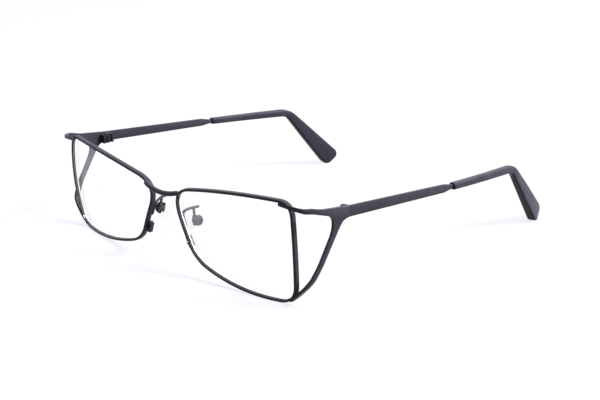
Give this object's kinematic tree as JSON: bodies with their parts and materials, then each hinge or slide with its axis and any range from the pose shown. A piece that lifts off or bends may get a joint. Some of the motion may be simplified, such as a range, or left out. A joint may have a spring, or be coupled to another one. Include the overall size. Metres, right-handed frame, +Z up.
{
  "type": "rectangular eyeglasses",
  "caption": "Rectangular metal eyeglasses: wide thin-wire rims with clear lenses, Y-shaped bent side pieces, folding flat temples with plastic ear tips, and rocking nose pads.",
  "frame": {"origin": "on the table, in the mirror plane, under the front of the bridge", "axes": "+Y back along the open temples, +X to the wearer's left, +Z up, with the rims and the ends of the tips on the table at z = 0"},
  "size_m": [0.142, 0.1528, 0.0391],
  "materials": {
    "frame_metal": "satin black lacquer over nickel alloy",
    "hinge_metal": "satin black lacquer",
    "screw_metal": "blackened steel",
    "lens": "clear polished",
    "pad": "clear soft plastic",
    "pad_core": "clear hard plastic",
    "tip": "satin black acetate"
  },
  "bodies": {
    "front": {"left_eyewire": "frame_metal", "right_eyewire": "frame_metal", "left_lens": "lens", "right_lens": "lens", "bridge": "frame_metal", "left_end_piece": "frame_metal", "right_end_piece": "frame_metal", "left_lock_upper_block": "frame_metal", "right_lock_upper_block": "frame_metal", "left_lock_lower_block": "frame_metal", "right_lock_lower_block": "frame_metal", "left_lock_screw": "screw_metal", "right_lock_screw": "screw_metal", "left_pad_arm": "frame_metal", "right_pad_arm": "frame_metal", "left_pad_box": "frame_metal", "right_pad_box": "frame_metal", "left_pad_screw": "screw_metal", "right_pad_screw": "screw_metal", "left_front_knuckles": "hinge_metal", "right_front_knuckles": "hinge_metal", "left_hinge_screw": "screw_metal", "right_hinge_screw": "screw_metal"},
    "left_temple_arm": {"left_temple": "frame_metal", "left_temple_tip": "tip", "left_temple_knuckle": "hinge_metal"},
    "right_temple_arm": {"right_temple": "frame_metal", "right_temple_tip": "tip", "right_temple_knuckle": "hinge_metal"},
    "left_pad": {"left_nose_pad": "pad", "left_pad_insert": "pad_core"},
    "right_pad": {"right_nose_pad": "pad", "right_pad_insert": "pad_core"}
  },
  "joints": [
    {"name": "left_temple_fold", "type": "hinge", "parent": "front", "child": "left_temple_arm", "pos_m": [0.06838, 0.0264, 0.03248], "axis": [0, 0, 1], "range_deg": [0, 90]},
    {"name": "right_temple_fold", "type": "hinge", "parent": "front", "child": "right_temple_arm", "pos_m": [-0.06838, 0.0264, 0.03248], "axis": [0, 0, -1], "range_deg": [0, 83]},
    {"name": "left_pad_rock", "type": "hinge", "parent": "front", "child": "left_pad", "pos_m": [0.0104, 0.0085, 0.01938], "axis": [0.2924, 0.9563, 0], "range_deg": [-8, 8]},
    {"name": "right_pad_rock", "type": "hinge", "parent": "front", "child": "right_pad", "pos_m": [-0.0104, 0.0085, 0.01938], "axis": [0.2924, -0.9563, 0], "range_deg": [-8, 8]}
  ]
}
